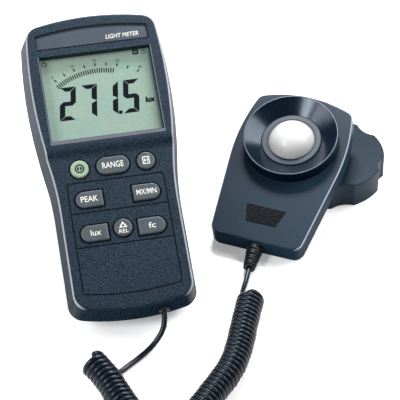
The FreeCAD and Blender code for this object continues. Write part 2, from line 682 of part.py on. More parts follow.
def sensor_parts():
    plan = sensor_plan()
    front = inset_prism(plan, 0, SENSOR_PARTING, SENSOR_DEPTH)
    front = front.makeFillet(1.2, level_edges(front, SENSOR_DEPTH))
    front = front.cut(inset_prism(plan, SENSOR_WALL, SENSOR_PARTING - 1, SENSOR_DEPTH - SENSOR_WALL))
    front = front.cut(disc(0, DOME_ALONG, SENSOR_PARTING, SENSOR_DEPTH + 1, RING_CONE_RADIUS))
    rear = inset_prism(plan, 0, 0, SENSOR_PARTING)
    rear = rear.makeFillet(1.6, level_edges(rear, 0))
    rear = rear.cut(inset_prism(plan, SENSOR_WALL, SENSOR_WALL, SENSOR_PARTING + 1))
    ceiling = SENSOR_DEPTH - SENSOR_WALL
    for across, along in SENSOR_SCREWS:
        front = front.fuse(disc(across, along, SENSOR_PARTING, ceiling + 0.3, 2.8))
        front = front.cut(disc(across, along, SENSOR_PARTING - 1, ceiling - 0.4, SCREW_RADIUS))
        rear = rear.fuse(disc(across, along, SENSOR_WALL - 0.3, SENSOR_PARTING, BOSS_RADIUS + 0.4))
        rear = rear.cut(disc(across, along, -1, SENSOR_PARTING + 1, SCREW_RADIUS + 0.1))
        rear = rear.cut(disc(across, along, -1, SENSOR_SCREW_SEAT, SCREW_HEAD_RADIUS + 0.2))
    pad_recess = 0.4
    corners = [Vector(-PAD_BOTTOM_HALF_WIDTH, PAD_BOTTOM), Vector(PAD_BOTTOM_HALF_WIDTH, PAD_BOTTOM),
               Vector(PAD_TOP_HALF_WIDTH, PAD_TOP), Vector(-PAD_TOP_HALF_WIDTH, PAD_TOP)]
    pad_edges = [line_edge(corners[step], corners[(step + 1) % 4]) for step in range(4)]
    pad = prism(pad_edges, SENSOR_DEPTH - pad_recess, SENSOR_DEPTH + 0.3)
    front = front.cut(pad)
    mouth = Part.makeCylinder(RELIEF_LARGE_RADIUS - 1.4, 5, Vector(0.5, -1, SENSOR_DEPTH / 2), ALONG)
    front = front.cut(mouth)
    rear = rear.cut(mouth)

    ring_top = SENSOR_DEPTH + RING_RISE
    floor = SENSOR_DEPTH + RING_FLOOR
    ring = disc(0, DOME_ALONG, SENSOR_DEPTH, ring_top, RING_RADIUS)
    cone = Part.makeCone(RING_CONE_RADIUS, RING_RADIUS - 1.0, ring_top - floor + 0.001,
                         Vector(0, DOME_ALONG, floor), OUT)
    ring = ring.cut(cone).cut(disc(0, DOME_ALONG, SENSOR_DEPTH - 1, floor + 0.5, RING_CONE_RADIUS))
    retainer_top = SENSOR_DEPTH + RETAINER_RISE
    retainer = disc(0, DOME_ALONG, SENSOR_DEPTH - 3.0, retainer_top, RING_CONE_RADIUS - 0.1)
    retainer = retainer.cut(disc(0, DOME_ALONG, 0, 40, DOME_RADIUS))
    retainer = retainer.cut(disc(0, DOME_ALONG, 0, SENSOR_DEPTH + 0.4, DOME_RADIUS + 1.6))
    ball = (DOME_RADIUS ** 2 + DOME_RISE ** 2) / (2 * DOME_RISE)
    dome_base = retainer_top - 0.6
    dome = Part.makeSphere(ball, Vector(0, DOME_ALONG, dome_base + DOME_RISE - ball))
    dome = dome.common(disc(0, DOME_ALONG, dome_base, ring_top + 20, DOME_RADIUS - 0.05))
    dome = dome.fuse(disc(0, DOME_ALONG, SENSOR_DEPTH - 0.4, dome_base, DOME_RADIUS - 0.05))
    dome = dome.fuse(disc(0, DOME_ALONG, SENSOR_DEPTH - 1.6, SENSOR_DEPTH + 0.3, DOME_RADIUS + 1.5))
    colour_filter = disc(0, DOME_ALONG, SENSOR_DEPTH - 3.8, SENSOR_DEPTH - 1.7, 10)
    photodiode = disc(0, DOME_ALONG, SENSOR_DEPTH - 6.2, SENSOR_DEPTH - 3.9, 7)
    board_level = SENSOR_DEPTH - 7.8
    board = box((-17, 17), (49, 89), (board_level, board_level + 1.5))
    screws = [screw(across, along, SENSOR_SCREW_SEAT, 5.5, True) for across, along in SENSOR_SCREWS]
    return {
        "sensor_front_shell": front.removeSplitter(),
        "sensor_rear_shell": rear.removeSplitter(),
        "reflector_ring": ring,
        "dome_retainer": retainer.removeSplitter(),
        "diffuser_dome": dome.removeSplitter(),
        "colour_filter": colour_filter,
        "photodiode": photodiode,
        "sensor_board": board,
        "grip_pad": pad,
        "sensor_screws": Part.Compound(screws),
    }


def dust_cap():
    body = Part.makeCylinder(CAP_RADIUS, CAP_HEIGHT)
    reach = CAP_RADIUS - CAP_SCALLOP_DEPTH + CAP_SCALLOP_RADIUS
    for step in range(CAP_SCALLOPS):
        angle = math.radians(CAP_SCALLOP_TURN + 360 * step / CAP_SCALLOPS)
        place = Vector(reach * math.cos(angle), reach * math.sin(angle), -1)
        body = body.cut(Part.makeCylinder(CAP_SCALLOP_RADIUS, CAP_HEIGHT + 2, place))
    body = body.makeFillet(2.0, corner_edges(body)[1:])
    body = body.makeFillet(0.8, level_edges(body, CAP_HEIGHT))
    return body.cut(Part.makeCylinder(CAP_WALL_RADIUS, CAP_HEIGHT - CAP_TOP_THICKNESS))


# ---- cord ----

def cord_path(points):
    """Straight runs joined by tangent arcs, and the radius of each arc."""
    edges = []
    radii = []
    start = points[0]
    for before, corner, after in zip(points, points[1:], points[2:]):
        to_before = before - corner
        to_after = after - corner
        turn = math.pi - to_before.getAngle(to_after)
        shorter = min(to_before.Length, to_after.Length)
        trim = 0.45 * shorter
        radius = trim / math.tan(turn / 2)
        to_before.normalize()
        to_after.normalize()
        inward = to_before + to_after
        inward.normalize()
        first = corner + to_before * trim
        last = corner + to_after * trim
        crest = corner + inward * (radius / math.cos(turn / 2) - radius)
        edges.append(line_edge(start, first))
        edges.append(arc_edge(first, crest, last))
        radii.append(radius)
        start = last
    edges.append(line_edge(start, points[-1]))
    return Part.Wire(edges), radii


def cord_tube(name, points, radius):
    path, radii = cord_path(points)
    direction = points[1] - points[0]
    section = Part.Wire(Part.makeCircle(radius, points[0], direction))
    tube = path.makePipeShell([section], True, True)
    expected = math.pi * radius ** 2 * path.Length
    print(name, "length %.1f" % path.Length, "volume ratio %.4f" % (tube.Volume / expected),
          "radii", [round(value, 1) for value in radii])
    return tube


def strain_relief(wall_point):
    """Tapered sleeve with ribs between the sensor's foot and the cord."""
    axis = RELIEF_END - wall_point
    length = axis.Length
    axis.normalize()
    body = Part.makeCone(RELIEF_LARGE_RADIUS, RELIEF_SMALL_RADIUS, length, wall_point, axis)
    taper = (RELIEF_LARGE_RADIUS - RELIEF_SMALL_RADIUS) / length
    for step in range(4):
        reach = 2.6 + 3.0 * step
        place = wall_point + axis * reach
        local = RELIEF_LARGE_RADIUS - taper * reach
        groove = Part.makeCylinder(local + 1, 0.9, place, axis)
        groove = groove.cut(Part.makeCylinder(local - 0.9, 0.9, place, axis))
        body = body.cut(groove)
    return body


# ---- assembly ----

def placement(place, yaw, pitch):
    turn = FreeCAD.Rotation(OUT, yaw).multiply(FreeCAD.Rotation(ACROSS, pitch))
    return FreeCAD.Placement(place, turn)


def build():
    plan = meter_plan()
    meter = {"front_case": front_case(plan), "rear_case": rear_case(), "cord_grommet": grommet()}
    meter.update(display_parts())
    meter.update(board_parts(plan))
    meter.update(key_parts())
    meter.update(battery_parts())
    meter["battery_cover"] = battery_cover()
    case_screws = [screw(across, along, PARTING_HEIGHT - 6, 13, True) for across, along in CASE_SCREWS]
    meter["case_screws"] = Part.Compound(case_screws)
    stand = tilt_stand()
    stand.rotate(Vector(0, STAND_HINGE_ALONG, STAND_HINGE_HEIGHT), ACROSS, STAND_OPEN_ANGLE)
    meter["tilt_stand"] = stand
    meter_frame = placement(METER_PLACE, 0, METER_TILT)
    nodes = {name: placed(shape, meter_frame) for name, shape in meter.items()}
    above_table = Part.makeBox(400, 400, 400, Vector(-200, -200, 0))
    nodes["tilt_stand"] = nodes["tilt_stand"].common(above_table)
    sensor_frame = placement(SENSOR_PLACE, SENSOR_YAW, SENSOR_PITCH)
    for name, shape in sensor_parts().items():
        nodes[name] = placed(shape, sensor_frame)
    wall_point = sensor_frame.multVec(Vector(0.5, 0, SENSOR_DEPTH / 2))
    relief = strain_relief(wall_point).cut(nodes["sensor_front_shell"]).cut(nodes["sensor_rear_shell"])
    plug = Part.makeCylinder(RELIEF_LARGE_RADIUS - 1.5, 4, Vector(0.5, 0, SENSOR_DEPTH / 2), ALONG)
    nodes["strain_relief"] = relief.fuse(placed(plug, sensor_frame)).removeSplitter()
    cap = dust_cap()
    cap.translate(CAP_PLACE)
    nodes["dust_cap"] = cap

    bounds = FreeCAD.BoundBox()
    for shape in nodes.values():
        bounds.add(shape.optimalBoundingBox(False))
    nodes["cord_lead_meter"] = cord_tube("cord_lead_meter", METER_LEAD, CORD_RADIUS)
    nodes["cord_coil"] = cord_tube("cord_coil", COIL_ROUTE, COIL_RADIUS)
    nodes["cord_lead_sensor"] = cord_tube("cord_lead_sensor", SENSOR_LEAD, CORD_RADIUS)
    shift = Vector(-bounds.Center.x, -bounds.Center.y, -bounds.ZMin)
    print("bounds", bounds, "shift", shift)
    hinge = meter_frame.multVec(Vector(0, STAND_HINGE_ALONG, STAND_HINGE_HEIGHT)) + shift
    print("stand hinge", hinge, "face normal", meter_frame.Rotation.multVec(OUT))
    print("cap centre", CAP_PLACE + shift, "relief wall point", wall_point + shift)
    for name, shape in nodes.items():
        shape.translate(shift)
        solids = len(shape.Solids)
        if not shape.isValid() or shape.Volume <= 0:
            print("BAD", name)
        print("%-20s solids %d volume %.1f" % (name, solids, shape.Volume))
        shape.exportStep("parts/%s.step" % name)


def placed(shape, frame):
    """Copy of a shape, moved from its own frame to the table."""
    moved = shape.copy()
    moved.Placement = frame.multiply(moved.Placement)
    return moved


build()
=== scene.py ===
import json
import math

import bmesh
import bpy
from mathutils import Matrix, Vector


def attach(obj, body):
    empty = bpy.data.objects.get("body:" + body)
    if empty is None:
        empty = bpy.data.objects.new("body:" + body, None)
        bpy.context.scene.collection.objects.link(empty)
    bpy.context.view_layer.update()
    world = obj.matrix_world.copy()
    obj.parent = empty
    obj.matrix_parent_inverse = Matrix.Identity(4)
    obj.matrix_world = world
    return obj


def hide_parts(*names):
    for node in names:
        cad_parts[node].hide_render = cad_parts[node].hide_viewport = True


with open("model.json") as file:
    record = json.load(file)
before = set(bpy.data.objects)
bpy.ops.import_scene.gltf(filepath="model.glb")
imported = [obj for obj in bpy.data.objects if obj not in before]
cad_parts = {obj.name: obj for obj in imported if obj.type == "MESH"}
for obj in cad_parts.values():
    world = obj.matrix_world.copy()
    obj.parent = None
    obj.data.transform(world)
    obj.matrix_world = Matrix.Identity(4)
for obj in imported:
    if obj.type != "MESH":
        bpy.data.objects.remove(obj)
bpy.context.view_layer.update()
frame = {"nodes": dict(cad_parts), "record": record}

NODES = frame["nodes"]
MM = 0.001

# ---------------------------------------------------------------- dimensions of the CAD, in millimetres
FACE_HEIGHT = 34.0
HOOD_HEIGHT = 36.5
HEADER_DEPTH = 1.2
HEADER_THICKNESS = 0.5
HEADER_HALF = 31.2
HEADER_BOTTOM = 155.8
HEADER_SHOULDER = 164.4
HEADER_BOW = 3.1
WINDOW_TOP = 32.8
WINDOW_THICKNESS = 1.4
WINDOW_TO_CELL = 0.2
DISPLAY_HALF = 30.9
DISPLAY_BOTTOM = 100.0
DISPLAY_TOP = 151.4
KEY_RISE = 1.0
ROUND_KEY_RADIUS = 5.0
TOP_ROW = 83.1
MIDDLE_ROW = 65.1
LOWER_ROW = 45.5
REL_ROW = 46.5
TOP_ROW_PITCH = 18.15
KEY_PITCH = 15.5
RANGE_KEY_HALF = (9.0, 5.0)
WIDE_KEY_HALF = (7.4, 4.6)
GROOVE_HALF = 0.4
GROOVE_FLOOR = 33.5
PANEL_HALF = 26.7 - GROOVE_HALF
PANEL_TOP = 75.7 - GROOVE_HALF
PANEL_FOOT = 12.0 + GROOVE_HALF
PANEL_BOW = 2.5
PANEL_DIVIDERS = (57.7, 38.1)
SENSOR_DEPTH = 12.3
DOME_ALONG = 69.0
RING_RISE = 7.6
RETAINER_RISE = 2.2

# ---------------------------------------------------------------- frames of the two instruments
SHIFT = Vector((-61.95, -67.5955, 0.0))
METER_PLACE = (Vector((0.3, -1.33, -5.377)) + SHIFT) * MM
METER_TILT = math.radians(27.6)
SENSOR_PLACE = (Vector((75.9, 39.9, 0.0)) + SHIFT) * MM
SENSOR_YAW = math.radians(-31.3)
SENSOR_PITCH = math.radians(17.9)
METER = Matrix.Translation(METER_PLACE) @ Matrix.Rotation(METER_TILT, 4, "X")
SENSOR = (Matrix.Translation(SENSOR_PLACE) @ Matrix.Rotation(SENSOR_YAW, 4, "Z")
          @ Matrix.Rotation(SENSOR_PITCH, 4, "X"))


def on_meter(x, u, n):
    """Point of the meter: across, along and out of the face, in millimetres."""
    return METER @ (Vector((x, u, n)) * MM)


def on_sensor(x, u, n):
    """Point of the sensor head, in millimetres."""
    return SENSOR @ (Vector((x, u, n)) * MM)


def add(obj):
    """Put an object into the scene."""
    bpy.context.scene.collection.objects.link(obj)
    return obj


# ---------------------------------------------------------------- camera
CAMERA_DISTANCE = 1.00877
CAMERA_AZIMUTH = math.radians(9.49)
CAMERA_HEIGHT_ANGLE = math.radians(40.784)
CAMERA_ROLL = math.radians(-1.498)
CAMERA_AIM = (Vector((53.32, 90.83, 0.0)) + SHIFT) * MM
CAMERA_LENS = 155.66


def make_camera():
    """Long lens, looking down across the table from the reader's side."""
    data = bpy.data.cameras.new("camera")
    data.lens = CAMERA_LENS
    data.sensor_width = 36.0
    data.clip_start = 0.05
    data.clip_end = 20.0
    camera = add(bpy.data.objects.new("camera", data))
    azimuth, height = CAMERA_AZIMUTH, CAMERA_HEIGHT_ANGLE
    back = Vector((-math.sin(azimuth) * math.cos(height), -math.cos(azimuth) * math.cos(height),
                   math.sin(height)))
    right = Vector((math.cos(azimuth), -math.sin(azimuth), 0.0))
    up = back.cross(right)
    turned_right = right * math.cos(CAMERA_ROLL) + up * math.sin(CAMERA_ROLL)
    turned_up = -right * math.sin(CAMERA_ROLL) + up * math.cos(CAMERA_ROLL)
    turn = Matrix((turned_right, turned_up, back)).transposed().to_4x4()
    camera.matrix_world = Matrix.Translation(CAMERA_AIM + back * CAMERA_DISTANCE) @ turn
    bpy.context.scene.camera = camera


make_camera()

# ---------------------------------------------------------------- cord
CORD_DIAMETER = 0.003
ROUND = 0.001
HELIX_RADIUS = 0.00606
HELIX_PITCH = 0.0031
TURN_POINTS = 16
METER_LEAD = [(15.3, -11.6, 18.6), (15.1, -20.0, 13.8), (8.8, -23.8, 5.6), (1.5, -27.8, 1.9),
              (-7.8, -34.2, 1.6), (-16.6, -41.4, 2.6)]
COIL_ROUTE = [(-26.8, -36.9, 10.9), (-20.6, -47.8, 10.2), (-16.4, -62.0, 8.4), (-10.5, -77.0, 7.7),
              (2.0, -88.0, 7.7), (17.5, -83.0, 7.7), (31.0, -67.0, 7.7), (43.4, -53.0, 7.7),
              (51.2, -37.0, 7.7), (57.4, -19.5, 7.7), (63.9, -4.1, 7.7)]
SENSOR_LEAD = [(68.7, 24.3, 3.7), (65.7, 16.4, 2.6), (61.4, 6.8, 3.4), (59.0, -2.0, 7.2)]


def row(point):
    """A route point in metres, in the shared frame."""
    return (Vector(point) + SHIFT) * MM


def nurbs(name, points):
    """Open NURBS curve through the space between its control points."""
    data = bpy.data.curves.new(name, "CURVE")
    data.dimensions = "3D"
    data.resolution_u = 12
    spline = data.splines.new("NURBS")
    spline.points.add(len(points) - 1)
    for made, point in zip(spline.points, points):
        made.co = (*point, 1.0)
        made.radius = ROUND
    spline.order_u = 3
    spline.use_endpoint_u = True
    return data


def read_route(points):
    """Evenly read points of the smooth line that a route's NURBS spline makes."""
    data = nurbs("route", points)
    holder = add(bpy.data.objects.new("route", data))
    bpy.context.view_layer.update()
    mesh = bpy.data.meshes.new_from_object(holder)
    line = [vertex.co.copy() for vertex in mesh.vertices]
    bpy.data.objects.remove(holder)
    bpy.data.curves.remove(data)
    bpy.data.meshes.remove(mesh)
    return line


def helix_points():
    """Control points of the curly part, wound left-handed round the coil's axis."""
    line = read_route([row(point) for point in COIL_ROUTE])
    lengths = [0.0]
    for before, after in zip(line, line[1:]):
        lengths.append(lengths[-1] + (after - before).length)
    total = lengths[-1]
    turns = round(total / HELIX_PITCH)
    count = turns * TURN_POINTS
    found = []
    index = 0
    for step in range(count + 1):
        distance = total * step / count
        while index < len(line) - 2 and lengths[index + 1] < distance:
            index += 1
        share = (distance - lengths[index]) / (lengths[index + 1] - lengths[index])
        centre = line[index].lerp(line[index + 1], share)
        before, after = line[max(index - 3, 0)], line[min(index + 4, len(line) - 1)]
        along = (after - before).normalized()
        left = Vector((0, 0, 1)).cross(along).normalized()
        up = along.cross(left)
        angle = math.tau * step / TURN_POINTS
        turn = step / TURN_POINTS
        wander = 1.0 + 0.012 * math.sin(turn * 1.7) + 0.01 * math.sin(turn * 0.73 + 1.0)
        found.append(centre + (up * math.cos(angle) + left * math.sin(angle)) * HELIX_RADIUS * wander)
    return found


cord_points = [row(point) for point in METER_LEAD] + helix_points()
cord_points += [row(point) for point in reversed(SENSOR_LEAD)]
cord_data = nurbs("curly_cord", cord_points)
cord_data.resolution_u = 3
cord_data.bevel_depth = CORD_DIAMETER / 2 / ROUND
cord_data.bevel_resolution = 4
curly_cord = add(bpy.data.objects.new("curly_cord", cord_data))
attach(curly_cord, "meter")
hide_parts("cord_lead_meter", "cord_coil", "cord_lead_sensor")


# ---------------------------------------------------------------- materials
class Look:
    """A node material: a Principled shader and the nodes that feed it."""

    def __init__(self, name):
        self.material = bpy.data.materials.new(name)
        self.material.use_nodes = True
        self.tree = self.material.node_tree
        self.shader = self.tree.nodes["Principled BSDF"]
        self.space = self.node("ShaderNodeTexCoord").outputs["Object"]

    def node(self, kind, inputs=None, **values):
        made = self.tree.nodes.new(kind)
        for key, value in values.items():
            setattr(made, key, value)
        for key, value in (inputs or {}).items():
            if isinstance(value, bpy.types.NodeSocket):
                self.tree.links.new(value, made.inputs[key])
            else:
                made.inputs[key].default_value = value
        return made

    def set(self, **values):
        for key, value in values.items():
            name = key.replace("_", " ")
            if isinstance(value, bpy.types.NodeSocket):
                self.tree.links.new(value, self.shader.inputs[name])
            else:
                self.shader.inputs[name].default_value = value
        return self

    def noise(self, scale, detail=3.0, rough=0.6, space=None):
        return self.node("ShaderNodeTexNoise", {"Vector": space or self.space, "Scale": scale,
                                                "Detail": detail, "Roughness": rough}).outputs["Fac"]

    def ramp(self, factor, stops):
        made = self.node("ShaderNodeValToRGB", {"Fac": factor})
        ramp = made.color_ramp
        ramp.interpolation = "LINEAR"
        while len(ramp.elements) < len(stops):
            ramp.elements.new(0.5)
        for element, (place, color) in zip(ramp.elements, stops):
            element.position = place
            element.color = (*color, 1.0) if len(color) == 3 else color
        return made.outputs["Color"]

    def spread(self, factor, low, high, start=0.3, end=0.7):
        """A number from low to high as the factor goes from start to end."""
        return self.node("ShaderNodeMapRange", {"Value": factor, "From Min": start, "From Max": end,
                                                "To Min": low, "To Max": high}).outputs["Result"]

    def mix(self, factor, first, second, blend="MIX"):
        made = self.node("ShaderNodeMix", data_type="RGBA", blend_type=blend)
        for socket, value in ((made.inputs[0], factor), (made.inputs[6], first), (made.inputs[7], second)):
            if isinstance(value, bpy.types.NodeSocket):
                self.tree.links.new(value, socket)
            else:
                socket.default_value = (*value, 1.0) if isinstance(value, tuple) else value
        return made.outputs[2]

    def math(self, operation, first, second=0.0):
        made = self.node("ShaderNodeMath", operation=operation)
        for socket, value in ((made.inputs[0], first), (made.inputs[1], second)):
            if isinstance(value, bpy.types.NodeSocket):
                self.tree.links.new(value, socket)
            else:
                socket.default_value = value
        return made.outputs[0]

    def bump(self, height, strength, distance):
        made = self.node("ShaderNodeBump", {"Height": height, "Strength": strength, "Distance": distance})
        return made.outputs["Normal"]


METER_TURNS = [(-METER_TILT, 0.0, 0.0)]
SENSOR_TURNS = [(0.0, 0.0, -SENSOR_YAW), (-SENSOR_PITCH, 0.0, 0.0)]
SEAM_HEIGHT = 31.2 * MM
SEAM_EDGES = (0.00025, 0.0005)
SEAM_COLOR = (0.002, 0.003, 0.005)
WALL_DULLING = 0.75
LCD_GLOW = 0.45
WINDOW_SHINE = 0.07


def shade(color, amount):
    """A colour made darker or lighter."""
    return tuple(channel * amount for channel in color)


def grained(name, color, rough, grain=1300.0, contrast=0.25, depth=0.00006, sheen=0.5, turned=None,
            edge=None, edge_rough=0.3, seam=None):
    """Moulded plastic with a grain and slow colour variation.

    With the turns of an instrument it also gets smoother rounded edges with a painted highlight, a paler
    colour, and duller walls. A seam is then a dark line along the meter's side walls, at that height in
    metres.
    """
    look = Look(name)
    fine = look.noise(grain, 4.0, 0.65)
    slow = look.noise(34.0, 3.0, 0.55)
    tone = look.ramp(fine, [(0.34, shade(color, 1.0 - contrast)), (0.66, shade(color, 1.0 + contrast))])
    cloud = look.ramp(slow, [(0.3, (0.44, 0.45, 0.47)), (0.7, (0.56, 0.55, 0.55))])
    tone = look.mix(0.9, tone, look.mix(1.0, tone, cloud, "OVERLAY"))
    roughness = look.spread(fine, rough - 0.07, rough + 0.09)
    if turned is not None:
        facing = turned_normal(look, turned)
        rounded = rounded_edges(look, facing)
        # Painted highlight: the rounded edges are mixed towards the paler edge colour.
        tone = look.mix(look.math("MULTIPLY", rounded, look.spread(fine, 0.7, 1.0)), tone, edge)
        drop = look.math("MULTIPLY", rounded, rough - edge_rough)
        roughness = look.math("SUBTRACT", roughness, drop)
        sheen = look.spread(facing["Y"], 0.0, sheen, -0.9, -0.4)
        side_wall = look.spread(look.math("ABSOLUTE", facing["X"]), 0.0, 1.0, 0.82, 0.94)
        kept = look.math("SUBTRACT", 1.0, look.math("MULTIPLY", side_wall, WALL_DULLING))
        sheen = look.math("MULTIPLY", sheen, kept)
        if seam is not None:
            height = place_from(look, METER_PLACE, METER_TURNS)["Z"]
            height = look.math("ABSOLUTE", look.math("SUBTRACT", height, seam))
            line = look.math("MULTIPLY", side_wall, look.spread(height, 1.0, 0.0, *SEAM_EDGES))
            tone = look.mix(line, tone, SEAM_COLOR)
    look.set(Base_Color=tone, Roughness=roughness, Normal=look.bump(fine, 0.55, depth),
             Specular_IOR_Level=sheen)
    return look.material


def turned_parts(look, direction, turns):
    """X, Y and Z of a direction or place, measured in an instrument's own frame."""
    for turn in turns:
        direction = look.node("ShaderNodeMapping", {"Vector": direction, "Rotation": turn}).outputs[0]
    return look.node("ShaderNodeSeparateXYZ", {"Vector": direction}).outputs


def turned_normal(look, turns):
    """Parts of the surface's direction in an instrument's own frame."""
    return turned_parts(look, look.node("ShaderNodeTexCoord").outputs["Normal"], turns)


def place_from(look, origin, turns):
    """Parts of the shader's place, measured from an origin in an instrument's own frame."""
    moved = look.node("ShaderNodeMapping", {"Vector": look.space, "Location": tuple(-origin)})
    return turned_parts(look, moved.outputs[0], turns)


def rounded_edges(look, facing):
    """1 on the rounded side and top edges of a face, where the edge highlight is painted; 0 on the face and
    on its walls.
    """
    sideways = look.math("ABSOLUTE", facing["X"])
    reach = look.math("MAXIMUM", sideways, facing["Y"])
    rise = look.spread(reach, 0.0, 1.0, 0.28, 0.5)
    fall = look.spread(reach, 1.0, 0.0, 0.8, 0.96)
    upward = look.spread(facing["Z"], 0.0, 1.0, 0.2, 0.35)
    return look.math("MULTIPLY", look.math("MULTIPLY", rise, fall), upward)


def smooth(name, color, rough, contrast=0.08, depth=0.000012, sheen=0.5):
    """Smooth moulded plastic with faint orange peel and smudges."""
    look = Look(name)
    fine = look.noise(900.0, 3.0, 0.6)
    smear = look.noise(55.0, 4.0, 0.6)
    stops = [(0.3, shade(color, 1 - contrast)), (0.7, shade(color, 1 + contrast))]
    tone = look.ramp(look.noise(240.0, 4.0), stops)
    look.set(Base_Color=tone, Roughness=look.spread(smear, rough - 0.05, rough + 0.07),
             Normal=look.bump(fine, 0.5, depth), Specular_IOR_Level=sheen)
    return look.material


def flat_print_and_painted_light(name, color, rough=0.55, sheen=0.3):
    """Silk-screened ink, a little uneven at its edges; it also makes the thin sheets of painted shade and
    highlight.
    """
    look = Look(name)
    tone = look.ramp(look.noise(1500.0, 3.0), [(0.3, shade(color, 0.9)), (0.7, color)])
    look.set(Base_Color=tone, Roughness=look.spread(look.noise(700.0), rough - 0.05, rough + 0.05),
             Normal=look.bump(look.noise(2600.0), 0.3, 0.00002), Specular_IOR_Level=sheen)
    return look.material


def case_look():
    """Coarse-grained housing of the meter."""
    # The edge colour is a painted highlight along the housing's rounded edges.
    return grained("case_abs", (0.0105, 0.0205, 0.032), 0.45, grain=1350.0, contrast=0.85, depth=0.00014,
                   sheen=0.13, turned=METER_TURNS, edge=(0.34, 0.36, 0.41), edge_rough=0.38,
                   seam=SEAM_HEIGHT)


def sensor_look():
    """Smoother, bluer housing of the sensor head."""
    # The edge colour is a painted highlight along the sensor head's rounded edges.
    return grained("sensor_abs", (0.0095, 0.0215, 0.036), 0.44, grain=1900.0, contrast=0.14, depth=0.00003,
                   sheen=0.12, turned=SENSOR_TURNS, edge=(0.32, 0.36, 0.42), edge_rough=0.24)


def cap_look():
    """Moulding of the loose dust cap."""
    return grained("cap_abs", (0.009, 0.020, 0.034), 0.5, grain=1500.0, contrast=0.14, depth=0.00004,
                   sheen=0.14)


def lcd_look():
    """Liquid crystal cell: pale green-grey, lifted by a weak painted glow, with painted shade along its top
    and right edges.
    """
    look = Look("lcd_cell")
    tone = look.ramp(look.noise(420.0, 5.0, 0.7), [(0.3, (0.30, 0.36, 0.325)), (0.7, (0.34, 0.395, 0.355))])
    warm = look.ramp(look.noise(28.0, 2.0), [(0.35, (0.45, 0.5, 0.5)), (0.65, (0.55, 0.5, 0.47))])
    tone = look.mix(0.6, tone, look.mix(1.0, tone, warm, "OVERLAY"))
    # Painted shadow: the cell turns dark teal towards its top and right edges, where the recess walls shade
    # it.
    place = place_from(look, METER_PLACE, METER_TURNS)
    top = look.spread(place["Y"], 0.0, 1.0, 0.1503, 0.1530)
    right = look.spread(place["X"], 0.0, 1.0, 0.0288, 0.0310)
    painted_shadow_amount = look.math("MAXIMUM", top, right)
    tone = look.mix(look.math("MULTIPLY", painted_shadow_amount, 0.93), tone, (0.012, 0.06, 0.062))
    look.set(Base_Color=look.mix(1.0, tone, (0.55, 0.55, 0.55), "MULTIPLY"),
             Roughness=look.spread(look.noise(300.0), 0.42, 0.5),
             Normal=look.bump(look.noise(3000.0), 0.3, 0.00001), Specular_IOR_Level=0.06,
             Emission_Color=tone, Emission_Strength=LCD_GLOW)
    return look.material


def window_look():
    """Clear acrylic: mostly see-through, with a weak reflection."""
    look = Look("window_acrylic")
    tree = look.tree
    clear = look.node("ShaderNodeBsdfTransparent", {"Color": (0.93, 0.97, 0.96, 1.0)})
    shine = look.node("ShaderNodeBsdfGlossy", {"Roughness": look.spread(look.noise(80.0), 0.10, 0.14),
                                               "Color": (0.9, 0.95, 1.0, 1.0)})
    edge = look.node("ShaderNodeFresnel", {"IOR": 1.35})
    weight = look.math("MULTIPLY", edge.outputs[0], WINDOW_SHINE)
    both = look.node("ShaderNodeMixShader")
    tree.links.new(weight, both.inputs[0])
    tree.links.new(clear.outputs[0], both.inputs[1])
    tree.links.new(shine.outputs[0], both.inputs[2])
    tree.links.new(both.outputs[0], tree.nodes["Material Output"].inputs["Surface"])
    return look.material


def ring_look():
    """Glossy black funnel: turned streaks run towards the middle, so highlights stretch out in rays."""
    look = Look("turned_black")
    parts = place_from(look, on_sensor(0.0, DOME_ALONG, SENSOR_DEPTH), SENSOR_TURNS)
    angle = look.math("ARCTAN2", parts["Y"], parts["X"])
    ray = look.node("ShaderNodeCombineXYZ", {"X": look.math("MULTIPLY", angle, 24.0),
                                             "Y": look.math("MULTIPLY", parts["Z"], 20.0)})
    streak = look.noise(3.4, 5.0, 0.7, ray.outputs[0])
    tone = look.ramp(streak, [(0.3, (0.001, 0.004, 0.009)), (0.72, (0.004, 0.009, 0.018))])
    facing = turned_normal(look, SENSOR_TURNS)
    look.set(Base_Color=tone, Roughness=look.spread(streak, 0.17, 0.25),
             Normal=look.bump(streak, 0.14, 0.00005), Specular_Tint=(0.74, 0.86, 1.0, 1.0),
             Specular_IOR_Level=look.spread(facing["Y"], 0.0, 0.36, -0.92, -0.5))
    return look.material


def dome_look():
    """Opal acrylic with a satin surface."""
    look = Look("opal_dome")
    tone = look.ramp(look.noise(160.0, 4.0), [(0.3, (0.50, 0.505, 0.505)), (0.7, (0.56, 0.56, 0.555))])
    look.set(Base_Color=tone, Roughness=look.spread(look.noise(90.0), 0.3, 0.38),
             Subsurface_Weight=0.25, Subsurface_Radius=(1.0, 0.95, 0.9), Subsurface_Scale=0.002,
             Normal=look.bump(look.noise(1200.0), 0.3, 0.00001))
    return look.material


def pad_look():
    """Black rubber with rows of short waves."""
    look = Look("waved_rubber")
    wave = look.node("ShaderNodeTexWave", {"Vector": look.space, "Scale": 260.0, "Distortion": 6.0,
                                           "Detail": 2.0, "Detail Scale": 2.5}, bands_direction="Y")
    tone = look.ramp(wave.outputs["Fac"], [(0.2, (0.003, 0.004, 0.005)), (0.85, (0.010, 0.013, 0.017))])
    look.set(Base_Color=tone, Roughness=look.spread(look.noise(900.0), 0.5, 0.65),
             Normal=look.bump(wave.outputs["Fac"], 0.9, 0.0003), Specular_IOR_Level=0.06)
    return look.material


def cord_look():
    """Satin jacket of the cord."""
    look = Look("pvc_cord")
    tone = look.ramp(look.noise(500.0, 4.0), [(0.3, (0.002, 0.004, 0.008)), (0.7, (0.006, 0.010, 0.017))])
    look.set(Base_Color=tone, Roughness=look.spread(look.noise(260.0), 0.26, 0.36),
             Normal=look.bump(look.noise(1700.0), 0.4, 0.00003), Specular_IOR_Level=0.26,
             Specular_Tint=(0.78, 0.88, 1.0, 1.0))
    return look.material


